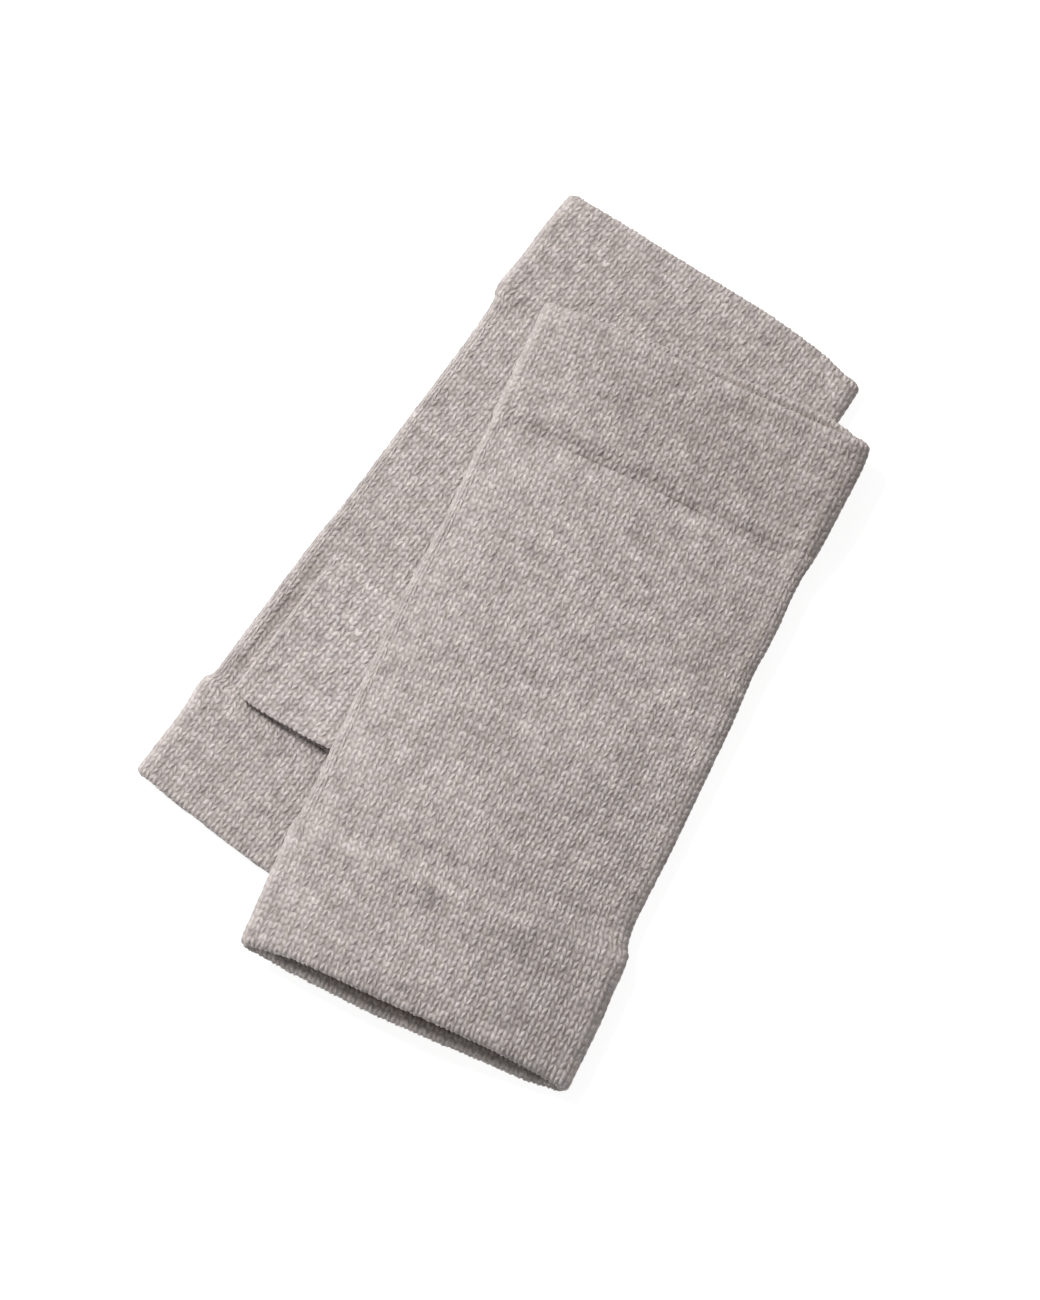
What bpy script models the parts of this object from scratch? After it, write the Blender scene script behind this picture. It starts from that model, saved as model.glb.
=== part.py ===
"""A pair of knitted wrist warmers laid flat, the upper one across the lower one.

Each warmer is a flattened tube of four pieces: a body, a turned-in hem at the wrist, a turned-in hem
at the fingers, and a short thumb tube that is sewn into a slot in the palm. The lower warmer lies palm
up and the upper one palm down, so the upper thumb is hidden between the two. Lengths in the tables are
millimetres, and MM turns them into Blender's metres. +X and +Y span the surface the pair lies on, +Z is
up, and the origin is on that surface under the middle of the pair.
"""

import math
from collections import namedtuple

import bmesh
import bpy
from mathutils import Vector

MM = 0.001

# Thicknesses of the flattened tubes and of their walls, and the gaps between pieces.
BODY_THICKNESS = 4.2
HEM_THICKNESS = 6.2
SEAM_THICKNESS = 4.6
SEAM_REACH = 5.0
BODY_WALL = 1.5
THUMB_THICKNESS = 2.6
THUMB_WALL = 1.1
SEAM_GAP = 0.3
THUMB_GAP = 0.4
DRAPE_GAP = 0.6
OWN_THUMB_GAP = 0.85

# A hem is cloth turned in on itself: depths of its two layers' faces, from the outside inwards, as
# shares of half the flattened hem, and how far from its end the fold starts to round over.
OUTER_LAYER = 0.40
INNER_LAYER = 0.486
INNERMOST = 0.886
FOLD_REACH = 2.2
FOLD_SHOULDER = 0.7
FOLD_SHOULDER_DEPTH = 0.14

# The thumb tube on its warmer: its seam and end along the warmer, the slant and rounding of that end,
# how far along it rises out of the slot, and where its layer next to the palm starts.
THUMB_WIDTH = 37.0
THUMB_SEAM = 120.0
THUMB_END = 167.4
THUMB_SLANT = 3.4
THUMB_CORNER = 2.2
THUMB_RISE = 8.0
THUMB_NEAR_START = 7.4
SLOT_MARGIN = 0.3
SLOT_CLEAR = 2.5
SLOT_STEPS_ALONG = 4
SLOT_STEPS_ACROSS = 8

# How far the upper warmer takes to fall off the lower one's side and end, off a thumb and off a hem's
# step, how far before a thumb's root it starts to rise and how far that takes, how far it stays level
# beyond an edge, and how wide and how high the crease between two supports is rounded.
SIDE_FALL = 50.0
END_FALL = 40.0
THUMB_FALL = 40.0
STEP_FALL = 16.0
STEP_START = 12.0
ROOT_LEAD = 23.0
ROOT_RISE = 25.0
EDGE_MARGIN = 3.0
BLEND = 3.0
BLEND_LIFT = 0.75

# The lower warmer's edges and seams, as the upper one lies on them.
LOWER_LEFT = 0.0
LOWER_RIGHT = 97.0
LOWER_WRIST = -5.0
LOWER_WRIST_LINE = 32.5
LOWER_FINGER_LINE = 166.0
LOWER_FINGER = 200.5

# The lift of the upper warmer's top layer at its open finger end: where it starts and is full.
MOUTH_START = 172.0
MOUTH_FULL = 197.0

# Sections round a tube: points across each face, and points in each rounded edge.
ACROSS_POINTS = 13
EDGE_POINTS = 3
THUMB_ACROSS_POINTS = 7

# Sections along each piece, as shares of its length, closer together where its thickness changes.
LOWER_BODY_SECTIONS = 9
UPPER_BODY_SECTIONS = 18
BODY_LENGTH = 130.0
LOWER_HEM_SECTIONS = (0.0, 0.07, 0.15, 0.5, 0.9)
UPPER_HEM_SECTIONS = (0.0, 0.07, 0.15, 0.36, 0.58, 0.8, 0.95)
THUMB_SECTIONS = (0.0, 0.06, 0.12, 0.19, 0.3, 0.42, 0.54, 0.66, 0.78, 0.87, 0.94, 1.0)

SMOOTH_ANGLE = 40.0
KNIT_ROUGHNESS = 0.9

Outline = namedtuple("Outline", "along left right")
Ends = namedtuple("Ends", "across wrist_top wrist_under wrist_line finger_line finger_top finger_under")
Warmer = namedtuple("Warmer", "name x y turn outline ends loft mouth_lift thumb_on_top thumb_left colour")

# Distance of each warmer's two edges from its own length line, a row per section along it.
LOWER_OUTLINE = (
    Outline(along=-5, left=0.4, right=97.8),
    Outline(along=8, left=-0.3, right=98.6),
    Outline(along=31, left=-0.5, right=98.4),
    Outline(along=37, left=0.8, right=97.0),
    Outline(along=50, left=1.3, right=96.4),
    Outline(along=105, left=1.6, right=96.2),
    Outline(along=120, left=1.0, right=96.3),
    Outline(along=161, left=1.4, right=96.4),
    Outline(along=168, left=0.8, right=97.4),
    Outline(along=182, left=0.8, right=97.9),
    Outline(along=200, left=0.5, right=97.7),
)
UPPER_OUTLINE = (
    Outline(along=2, left=0.7, right=98.8),
    Outline(along=10, left=0.5, right=99.6),
    Outline(along=31, left=0.6, right=98.5),
    Outline(along=39, left=0.9, right=97.7),
    Outline(along=47, left=0.6, right=96.4),
    Outline(along=62, left=0.7, right=96.6),
    Outline(along=74, left=0.7, right=95.6),
    Outline(along=90, left=-0.1, right=96.0),
    Outline(along=128, left=0.2, right=95.3),
    Outline(along=151, left=0.8, right=94.3),
    Outline(along=162, left=0.4, right=96.3),
    Outline(along=177, left=0.2, right=97.1),
    Outline(along=200, left=0.3, right=96.4),
)

# Where the hems end and meet the body, a row per place across the warmer.
LOWER_ENDS = (
    Ends(across=1, wrist_top=-2.8, wrist_under=-2.8, wrist_line=33.4,
         finger_line=166.0, finger_top=198.8, finger_under=198.8),
    Ends(across=8, wrist_top=-3.2, wrist_under=-3.2, wrist_line=33.2,
         finger_line=166.0, finger_top=199.8, finger_under=199.8),
    Ends(across=34, wrist_top=-4.4, wrist_under=-4.4, wrist_line=32.6,
         finger_line=166.0, finger_top=200.4, finger_under=200.4),
    Ends(across=64, wrist_top=-5.5, wrist_under=-5.5, wrist_line=32.2,
         finger_line=166.2, finger_top=200.2, finger_under=200.2),
    Ends(across=88, wrist_top=-5.5, wrist_under=-5.5, wrist_line=32.0,
         finger_line=166.0, finger_top=199.8, finger_under=199.8),
    Ends(across=97, wrist_top=-4.4, wrist_under=-4.4, wrist_line=32.0,
         finger_line=165.8, finger_top=199.0, finger_under=199.0),
)
UPPER_ENDS = (
    Ends(across=0, wrist_top=3.2, wrist_under=3.0, wrist_line=38.4,
         finger_line=162.4, finger_top=198.8, finger_under=199.4),
    Ends(across=12, wrist_top=3.2, wrist_under=1.8, wrist_line=38.5,
         finger_line=162.0, finger_top=198.0, finger_under=200.4),
    Ends(across=40, wrist_top=4.2, wrist_under=1.2, wrist_line=38.9,
         finger_line=161.2, finger_top=198.1, finger_under=201.2),
    Ends(across=60, wrist_top=4.9, wrist_under=1.2, wrist_line=39.8,
         finger_line=161.2, finger_top=198.0, finger_under=201.1),
    Ends(across=78, wrist_top=5.2, wrist_under=1.2, wrist_line=41.3,
         finger_line=158.9, finger_top=197.8, finger_under=200.7),
    Ends(across=90, wrist_top=5.0, wrist_under=1.3, wrist_line=41.2,
         finger_line=157.9, finger_top=197.8, finger_under=200.2),
    Ends(across=97, wrist_top=3.9, wrist_under=3.2, wrist_line=40.2,
         finger_line=157.6, finger_top=198.2, finger_under=199.0),
)

# Each warmer's place and turn, how much fuller it is where nothing presses on it, how far its finger
# end opens, which side its thumb is on, and its colour.
LOWER = Warmer(name="lower", x=16.35, y=123.4, turn=36.0, outline=LOWER_OUTLINE, ends=LOWER_ENDS,
               loft=0.0, mouth_lift=0.0, thumb_on_top=True, thumb_left=9.2, colour=(0.40, 0.37, 0.35, 1.0))
UPPER = Warmer(name="upper", x=11.45, y=95.4, turn=24.6, outline=UPPER_OUTLINE, ends=UPPER_ENDS,
               loft=2.4, mouth_lift=3.0, thumb_on_top=False, thumb_left=12.0, colour=(0.44, 0.41, 0.39, 1.0))


def clear_scene():
    for item in list(bpy.data.objects):
        bpy.data.objects.remove(item, do_unlink=True)


def mix(a, b, share):
    return a + (b - a) * share


def smooth(share):
    share = min(1.0, max(0.0, share))
    return share * share * (3.0 - 2.0 * share)


def read(table, key, at, column):
    """A table's value at a place between its rows, joined by straight lines."""
    if at <= getattr(table[0], key):
        return getattr(table[0], column)
    for low, high in zip(table, table[1:]):
        start = getattr(low, key)
        stop = getattr(high, key)
        if at <= stop:
            return mix(getattr(low, column), getattr(high, column), (at - start) / (stop - start))
    return getattr(table[-1], column)


def to_world(warmer, across, along):
    """A warmer's own flat coordinates, across and along it, as x and y on the surface."""
    angle = math.radians(warmer.turn)
    x = warmer.x + across * math.cos(angle) - along * math.sin(angle)
    y = warmer.y - across * math.sin(angle) - along * math.cos(angle)
    return x, y


def to_flat(warmer, x, y):
    """The reverse of to_world."""
    angle = math.radians(warmer.turn)
    dx = x - warmer.x
    dy = y - warmer.y
    across = dx * math.cos(angle) - dy * math.sin(angle)
    along = -dx * math.sin(angle) - dy * math.cos(angle)
    return across, along


def fall(distance, width):
    """1 on a support, and softly down to 0 at a width beyond its edge."""
    return 1.0 - smooth((distance - EDGE_MARGIN) / width)


def soft_max(a, b):
    """The higher of two rises, with the crease between them rounded, and 0 where both are 0."""
    near = max(BLEND - abs(a - b), 0.0) / BLEND
    raised = min(1.0, min(a, b) / BLEND)
    return max(a, b) + near * near * raised * BLEND_LIFT


def support(across, along):
    """1 over the lower warmer, and softly down to 0 off its sides and ends."""
    side = fall(max(LOWER_LEFT - across, across - LOWER_RIGHT), SIDE_FALL)
    ends = fall(max(LOWER_WRIST - along, along - LOWER_FINGER), END_FALL)
    return side * ends


def lower_top(across, along):
    """Height of cloth lying on the lower warmer, its thumb left out, and falling off its edges."""
    wrist_hem = smooth((LOWER_WRIST_LINE + STEP_START - along) / STEP_FALL)
    finger_hem = smooth((along - LOWER_FINGER_LINE + STEP_START) / STEP_FALL)
    hem_step = (HEM_THICKNESS - BODY_THICKNESS) * max(wrist_hem, finger_hem)
    return (BODY_THICKNESS + hem_step + DRAPE_GAP) * support(across, along)


def thumb_patch(warmer, x, y):
    """1 over a warmer's thumb tube, and softly down to 0 round it."""
    across, along = to_flat(warmer, x, y)
    beyond_side = abs(across - warmer.thumb_left - THUMB_WIDTH / 2) - THUMB_WIDTH / 2
    side = fall(beyond_side, THUMB_FALL)
    root = smooth((along - THUMB_SEAM + ROOT_LEAD) / ROOT_RISE)
    end = fall(along - THUMB_END, THUMB_FALL)
    return side * root * end


def upper_thumb_rest(x, y):
    """Height of the lowest cloth of the upper thumb, which lies on the lower warmer."""
    return lower_top(*to_flat(LOWER, x, y))


def upper_rest(x, y):
    """Height of the upper warmer's underside, draped over the lower warmer and both thumbs."""
    lower = lower_top(*to_flat(LOWER, x, y))
    over_lower_thumb = (THUMB_THICKNESS + THUMB_GAP) * thumb_patch(LOWER, x, y)
    over_own_thumb = (THUMB_THICKNESS + OWN_THUMB_GAP) * thumb_patch(UPPER, x, y)
    return lower + soft_max(over_lower_thumb, over_own_thumb)


def floor(x, y):
    return 0.0


def ring_directions(across_points, edge_points):
    """Round a flattened tube: a place across it from -1 to 1, and the outward direction there."""
    ring = []
    for i in range(across_points):
        ring.append((mix(-1.0, 1.0, i / (across_points - 1)), 0.0, 1.0))
    turns = [math.pi * (i + 1) / (edge_points + 1) for i in range(edge_points)]
    for turn in turns:
        ring.append((1.0, math.sin(turn), math.cos(turn)))
    for i in range(across_points):
        ring.append((mix(1.0, -1.0, i / (across_points - 1)), 0.0, -1.0))
    for turn in turns:
        ring.append((-1.0, -math.sin(turn), -math.cos(turn)))
    return ring


def tube_thickness(warmer, across, along):
    """Thick at the hems, thin along the body, and drawn in a little at each hem's seam.

    Where the upper warmer lies beside the lower one, it is pressed less and stays fuller.
    """
    wrist = read(warmer.ends, "across", across, "wrist_line")
    finger = read(warmer.ends, "across", across, "finger_line")
    into_body = min(along - wrist, finger - along)
    full = BODY_THICKNESS if into_body >= 0.0 else HEM_THICKNESS
    pressed = mix(SEAM_THICKNESS, full, smooth(abs(into_body) / SEAM_REACH))
    x, y = to_world(warmer, across, along)
    return pressed + warmer.loft * (1.0 - support(*to_flat(LOWER, x, y)))


def tube_point(warmer, rest, direction, along, inset):
    """A point of a flattened tube, inset from its outer face, laid on the surface that rest gives."""
    place, side, up = direction
    left = read(warmer.outline, "along", along, "left")
    right = read(warmer.outline, "along", along, "right")
    middle = (left + right) / 2
    thickness = tube_thickness(warmer, middle + place * (right - left) / 2, along)
    straight = (right - left - thickness) / 2
    radius = thickness / 2 - inset(thickness)
    across = middle + place * straight + side * radius
    x, y = to_world(warmer, across, along)
    height = rest(x, y) + thickness / 2 + up * radius
    height += mouth_rise(warmer, place, up, along)
    return Vector((x, y, height)) * MM


def mouth_rise(warmer, place, up, along):
    """The top layer stands a little off the under one at the upper warmer's finger end."""
    top_share = (1.0 + up) / 2
    reach = smooth((along - MOUTH_START) / (MOUTH_FULL - MOUTH_START))
    return warmer.mouth_lift * top_share * (1.0 - place ** 4) * reach


def seam_line(warmer, name, direction):
    """A hem's end or seam at one place round the tube, along the warmer."""
    place, side, up = direction
    across = mix(warmer.ends[0].across, warmer.ends[-1].across, (place + 1) / 2)
    if name in ("wrist_line", "finger_line"):
        return read(warmer.ends, "across", across, name)
    top = read(warmer.ends, "across", across, name + "_top")
    under = read(warmer.ends, "across", across, name + "_under")
    return mix(under, top, (1.0 + up) / 2)


def loft(rings):
    """Closed faces through rings that run round a tube and back, the last joined to the first."""
    mesh = bmesh.new()
    grid = [[mesh.verts.new(point) for point in ring] for ring in rings]
    count = len(grid[0])
    for ring, following in zip(grid, grid[1:] + grid[:1]):
        for i in range(count):
            j = (i + 1) % count
            mesh.faces.new((ring[i], ring[j], following[j], following[i]))
    bmesh.ops.recalc_face_normals(mesh, faces=mesh.faces)
    return mesh


def add_object(name, mesh, material, collection):
    data = bpy.data.meshes.new(name)
    mesh.to_mesh(data)
    mesh.free()
    data.materials.append(material)
    data.shade_smooth()
    data.set_sharp_from_angle(angle=math.radians(SMOOTH_ANGLE))
    item = bpy.data.objects.new(name, data)
    collection.objects.link(item)
    return item


def knit_material(name, colour):
    material = bpy.data.materials.new(name)
    material.use_nodes = True
    shader = material.node_tree.nodes["Principled BSDF"]
    shader.inputs["Base Color"].default_value = colour
    shader.inputs["Roughness"].default_value = KNIT_ROUGHNESS
    shader.inputs["Metallic"].default_value = 0.0
    return material


def at_depth(depth):
    return lambda thickness: depth


def at_share(share):
    return lambda thickness: share * thickness / 2


def body_rings(warmer, rest, sections):
    """The body's wall: out along its outer face, and back along its inner one."""
    ring = ring_directions(ACROSS_POINTS, EDGE_POINTS)
    outer = []
    inner = []
    for share in sections:
        outer_ring = []
        inner_ring = []
        for direction in ring:
            start = seam_line(warmer, "wrist_line", direction) + SEAM_GAP / 2
            stop = seam_line(warmer, "finger_line", direction) - SEAM_GAP / 2
            along = mix(start, stop, share)
            outer_ring.append(tube_point(warmer, rest, direction, along, at_depth(0.0)))
            inner_ring.append(tube_point(warmer, rest, direction, along, at_depth(BODY_WALL)))
        outer.append(outer_ring)
        inner.append(inner_ring)
    return outer + inner[::-1]


def hem_profile(sections):
    """A hem's section, from its seam out to the fold and back inside.

    Each row is a share of the way to the fold, a share of the fold's own reach, and a depth.
    """
    middle = (OUTER_LAYER + INNER_LAYER) / 2
    rows = [(share, 0.0, 0.0) for share in sections]
    rows.append((1.0, FOLD_SHOULDER, FOLD_SHOULDER_DEPTH))
    rows.append((1.0, 1.0, middle))
    rows.append((1.0, FOLD_SHOULDER, INNERMOST - FOLD_SHOULDER_DEPTH))
    rows += [(share, 0.0, INNERMOST) for share in sections[::-1]]
    rows += [(share, 0.0, INNER_LAYER) for share in sections]
    rows += [(share, 0.0, OUTER_LAYER) for share in sections[::-1]]
    return rows


def hem_rings(warmer, rest, seam, end, sections):
    """A hem turned in on itself, from its seam with the body to its fold at the warmer's end."""
    ring = ring_directions(ACROSS_POINTS, EDGE_POINTS)
    outward = -1.0 if end == "wrist" else 1.0
    rings = []
    for share, fold_share, depth in hem_profile(sections):
        points = []
        for direction in ring:
            start = seam_line(warmer, seam, direction) + outward * SEAM_GAP / 2
            fold = seam_line(warmer, end, direction)
            fold_start = fold - outward * FOLD_REACH
            along = mix(start, fold_start, min(1.0, share / sections[-1]))
            along = mix(along, fold, fold_share)
            points.append(tube_point(warmer, rest, direction, along, at_share(depth)))
        rings.append(points)
    return rings


def thumb_point(warmer, rest, thumb_rest, direction, share, depth):
    """A point of the thumb tube, which lies against the palm and turns into the slot at its root.

    The thumb's layer away from the palm is up in its own section, whichever way the palm faces.
    """
    place, side, up = direction
    far_share = (1.0 + up) / 2
    seam = THUMB_SEAM + THUMB_NEAR_START * (1.0 - far_share)
    end = THUMB_END - THUMB_SLANT * (place + 1) / 2 - THUMB_CORNER * abs(place) ** 6
    along = mix(seam, end, share)
    radius = THUMB_THICKNESS / 2 - depth
    middle = warmer.thumb_left + THUMB_WIDTH / 2
    straight = (THUMB_WIDTH - THUMB_THICKNESS) / 2
    across = middle + place * straight + side * radius
    x, y = to_world(warmer, across, along)
    into_slot = far_share * (1.0 - smooth((along - seam) / THUMB_RISE))
    if warmer.thumb_on_top:
        palm = rest(x, y) + tube_thickness(warmer, across, along)
        height = palm + THUMB_GAP + THUMB_THICKNESS / 2 + up * radius
        height -= (THUMB_THICKNESS + THUMB_GAP) * into_slot
    else:
        height = thumb_rest(x, y) + THUMB_THICKNESS / 2 - up * radius
        height += (rest(x, y) - thumb_rest(x, y)) * into_slot
    return Vector((x, y, height)) * MM


def thumb_rings(warmer, rest, thumb_rest):
    """The thumb's wall: out along its outer face, and back along its inner one."""
    ring = ring_directions(THUMB_ACROSS_POINTS, EDGE_POINTS)
    outer = []
    inner = []
    for share in THUMB_SECTIONS:
        outer.append([thumb_point(warmer, rest, thumb_rest, d, share, 0.0) for d in ring])
        inner.append([thumb_point(warmer, rest, thumb_rest, d, share, THUMB_WALL) for d in ring])
    return outer + inner[::-1]


def slot_cutter(warmer, rest, collection):
    """A flat block that follows the palm and cuts the thumb's slot through that layer alone."""
    left = warmer.thumb_left - SLOT_MARGIN
    right = warmer.thumb_left + THUMB_WIDTH + SLOT_MARGIN
    low = THUMB_SEAM - SLOT_MARGIN
    high = THUMB_SEAM + THUMB_NEAR_START - SLOT_MARGIN
    alongs = [mix(low, high, share) for share in spaced(SLOT_STEPS_ALONG)]
    outside = [(along, -SLOT_CLEAR) for along in alongs]
    inside = [(along, BODY_THICKNESS / 2) for along in alongs[::-1]]
    mesh = bmesh.new()
    grid = []
    for share in spaced(SLOT_STEPS_ACROSS):
        across = mix(left, right, share)
        ring = []
        for along, depth in outside + inside:
            x, y = to_world(warmer, across, along)
            height = BODY_THICKNESS - depth if warmer.thumb_on_top else depth
            ring.append(mesh.verts.new(Vector((x, y, rest(x, y) + height)) * MM))
        grid.append(ring)
    for ring, following in zip(grid, grid[1:]):
        for i in range(len(ring)):
            j = (i + 1) % len(ring)
            mesh.faces.new((ring[i], ring[j], following[j], following[i]))
    mesh.faces.new(grid[0])
    mesh.faces.new(grid[-1][::-1])
    bmesh.ops.recalc_face_normals(mesh, faces=mesh.faces)
    data = bpy.data.meshes.new(warmer.name + "_slot_cutter")
    mesh.to_mesh(data)
    mesh.free()
    cutter = bpy.data.objects.new(warmer.name + "_slot_cutter", data)
    cutter.hide_render = True
    cutter.display_type = "WIRE"
    collection.objects.link(cutter)
    return cutter


def cut(item, cutter):
    modifier = item.modifiers.new("thumb slot", "BOOLEAN")
    modifier.operation = "DIFFERENCE"
    modifier.solver = "EXACT"
    modifier.object = cutter


def spaced(count):
    return [i / count for i in range(count + 1)]


def body_sections(count):
    """Shares along the body, closer together beside the two hem seams."""
    near = SEAM_REACH / BODY_LENGTH
    middle = [mix(near, 1.0 - near, share) for share in spaced(count)]
    return [0.0, near / 2] + middle + [1.0 - near / 2, 1.0]


def add_warmer(warmer, rest, thumb_rest, body_count, hem_sections, parts, cutters):
    material = knit_material(warmer.name + "_knit", warmer.colour)
    body = loft(body_rings(warmer, rest, body_sections(body_count)))
    body = add_object(warmer.name + "_body", body, material, parts)
    cut(body, slot_cutter(warmer, rest, cutters))
    wrist = loft(hem_rings(warmer, rest, "wrist_line", "wrist", hem_sections))
    add_object(warmer.name + "_wrist_hem", wrist, material, parts)
    finger = loft(hem_rings(warmer, rest, "finger_line", "finger", hem_sections))
    add_object(warmer.name + "_finger_hem", finger, material, parts)
    thumb = loft(thumb_rings(warmer, rest, thumb_rest))
    add_object(warmer.name + "_thumb", thumb, material, parts)


def build():
    clear_scene()
    parts = bpy.data.collections.new("wrist_warmers")
    cutters = bpy.data.collections.new("cutters")
    bpy.context.scene.collection.children.link(parts)
    bpy.context.scene.collection.children.link(cutters)
    add_warmer(LOWER, floor, floor, LOWER_BODY_SECTIONS, LOWER_HEM_SECTIONS, parts, cutters)
    add_warmer(UPPER, upper_rest, upper_thumb_rest, UPPER_BODY_SECTIONS, UPPER_HEM_SECTIONS,
               parts, cutters)


build()
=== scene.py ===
# %% [markdown]
# # A pair of knitted wrist warmers, laid flat
#
# Each wrist warmer is a plain knitted tube for the hand, with a turned-in hem at the wrist, another at
# the fingers, and a short thumb tube. They lie one across the other. The CAD model already has the
# eight pieces as plain walls in their true places. This lesson puts knitted cloth on them: the stitches
# are raised in the mesh, finest where they show, and shader nodes give the yarn its colour and fluff.

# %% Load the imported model
import math
from collections import namedtuple

import bmesh
import bpy
import numpy as np
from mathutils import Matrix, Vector


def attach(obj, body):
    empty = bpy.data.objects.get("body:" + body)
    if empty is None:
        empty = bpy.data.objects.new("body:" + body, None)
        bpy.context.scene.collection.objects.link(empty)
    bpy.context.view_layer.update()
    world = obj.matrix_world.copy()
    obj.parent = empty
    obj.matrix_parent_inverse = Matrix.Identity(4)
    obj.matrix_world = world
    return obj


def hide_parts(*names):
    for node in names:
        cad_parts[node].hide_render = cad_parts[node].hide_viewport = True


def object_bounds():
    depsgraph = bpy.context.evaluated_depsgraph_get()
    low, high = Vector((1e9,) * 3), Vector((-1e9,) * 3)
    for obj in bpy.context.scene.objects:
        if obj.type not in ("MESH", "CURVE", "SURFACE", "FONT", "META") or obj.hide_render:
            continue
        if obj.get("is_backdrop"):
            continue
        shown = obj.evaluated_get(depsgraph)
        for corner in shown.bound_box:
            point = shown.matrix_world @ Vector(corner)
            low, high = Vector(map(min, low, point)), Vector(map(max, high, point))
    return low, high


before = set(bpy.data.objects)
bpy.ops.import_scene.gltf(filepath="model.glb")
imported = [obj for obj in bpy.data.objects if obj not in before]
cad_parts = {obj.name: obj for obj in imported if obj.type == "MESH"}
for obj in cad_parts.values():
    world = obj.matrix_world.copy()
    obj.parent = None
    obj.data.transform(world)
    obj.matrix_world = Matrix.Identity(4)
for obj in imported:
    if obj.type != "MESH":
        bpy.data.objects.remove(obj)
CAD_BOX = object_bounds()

MM = 0.001
scene = bpy.context.scene
print("CAD nodes:", ", ".join(sorted(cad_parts)))

# %% [markdown]
# ## The sizes that the cloth follows
#
# The cloth has to lie exactly where the solids are, so the sizes of the flattened tubes are repeated
# here in millimetres. Each warmer has a flat system of its own: "across" runs from its left edge to its
# right one, and "along" from the wrist to the fingers. Tables give the edges and the seams, because a
# soft tube never lies perfectly straight.

# %% Sizes of the tubes
BODY_THICKNESS = 4.2
HEM_THICKNESS = 6.2
SEAM_THICKNESS = 4.6
SEAM_REACH = 5.0
THUMB_THICKNESS = 2.6
THUMB_WIDTH = 37.0
THUMB_GAP = 0.4
THUMB_SEAM = 120.0
THUMB_END = 167.4
THUMB_SLANT = 3.4
THUMB_CORNER = 2.2
THUMB_RISE = 8.0
THUMB_NEAR_START = 7.4
DRAPE_GAP = 0.6
OWN_THUMB_GAP = 0.85
FOLD_REACH = 2.2
# Depths in a hem, as shares of half its thickness: the outer layer's inside and the facing's two sides.
OUTER_INSIDE = 0.40
FACING_FACE = 0.486
FACING_INSIDE = 0.886

# Columns: along, left edge, right edge.
LOWER_EDGES = np.array([
    (-5, -0.1, 97.8), (8, -0.7, 98.6), (31, -0.5, 98.4), (37, 0.8, 97.0), (50, 1.3, 96.4),
    (105, 1.6, 96.2), (120, 1.0, 96.3), (161, 1.4, 96.4), (168, 0.8, 97.4), (182, 0.8, 97.9),
    (200, 0.5, 97.7)])
UPPER_EDGES = np.array([
    (2, 0.7, 98.8), (10, 0.5, 99.6), (31, 0.6, 98.5), (39, 0.9, 97.7), (47, 0.6, 96.4),
    (62, 0.7, 96.6), (74, 0.7, 95.6), (90, -0.1, 96.0), (128, 0.2, 95.3), (151, 0.8, 94.3),
    (162, 0.4, 96.3), (177, 0.2, 97.1), (200, 0.3, 96.4)])

# Columns: across, wrist fold on top, wrist fold below, wrist seam, finger seam, finger fold on top,
# finger fold below.
LOWER_ENDS = np.array([
    (1, -2.8, -2.8, 33.4, 166.0, 198.8, 198.8), (8, -3.2, -3.2, 33.2, 166.0, 199.8, 199.8),
    (34, -4.4, -4.4, 32.6, 166.0, 200.4, 200.4), (64, -5.5, -5.5, 32.2, 166.2, 200.2, 200.2),
    (88, -5.1, -5.1, 32.0, 166.0, 199.8, 199.8), (97, -4.0, -4.0, 32.0, 165.8, 199.0, 199.0)])
UPPER_ENDS = np.array([
    (0, 3.2, 3.0, 38.4, 162.4, 198.8, 199.4), (12, 3.2, 1.8, 38.5, 162.0, 198.0, 200.8),
    (40, 4.2, 1.2, 38.9, 161.2, 198.1, 201.6), (60, 4.9, 1.2, 39.8, 161.2, 198.0, 201.5),
    (78, 5.2, 1.2, 41.3, 158.9, 197.8, 200.7), (90, 5.0, 1.3, 41.2, 157.9, 197.8, 200.2),
    (97, 3.9, 3.2, 40.2, 157.6, 198.2, 199.0)])
END_COLUMNS = {"wrist": (1, 2), "wrist_seam": (3, 3), "finger_seam": (4, 4), "finger": (5, 6)}

# The place, turn and tables of a warmer, how full it is, how far its open end stands up, and its thumb.
Warmer = namedtuple("Warmer", "name x y turn edges ends loft mouth_lift thumb_on_top thumb_left")
LOWER = Warmer("lower", 16.35, 123.4, math.radians(36.0), LOWER_EDGES, LOWER_ENDS, 0.0, 0.0, True, 9.2)
UPPER = Warmer("upper", 11.45, 95.4, math.radians(24.6), UPPER_EDGES, UPPER_ENDS, 2.4, 3.0, False, 12.0)
print("each warmer is about 97 mm across and 200 mm along")

# %% [markdown]
# ## How the upper warmer drapes
#
# Knitted cloth takes the shape of what it lies on, only softer. The height of the upper warmer's
# underside is worked out from the lower one and from the two thumbs, each with a soft fall at its edges.
# A formula, unlike a cloth simulation, gives the very same folds as the solids below.

# %% Heights of what the cloth rests on
SIDE_FALL = 50.0
END_FALL = 40.0
THUMB_FALL = 40.0
STEP_FALL = 16.0
STEP_START = 12.0
ROOT_LEAD = 23.0
ROOT_RISE = 25.0
EDGE_MARGIN = 3.0
BLEND = 3.0
BLEND_LIFT = 0.75
LOWER_SIDES = (0.0, 97.0)
LOWER_LENGTH = (-5.0, 200.5)
LOWER_SEAMS = (32.5, 166.0)


def mix(a, b, share):
    return a + (b - a) * share


def smooth(share):
    share = np.clip(share, 0.0, 1.0)
    return share * share * (3.0 - 2.0 * share)


def to_world(warmer, across, along):
    x = warmer.x + across * math.cos(warmer.turn) - along * math.sin(warmer.turn)
    y = warmer.y - across * math.sin(warmer.turn) - along * math.cos(warmer.turn)
    return x, y


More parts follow.
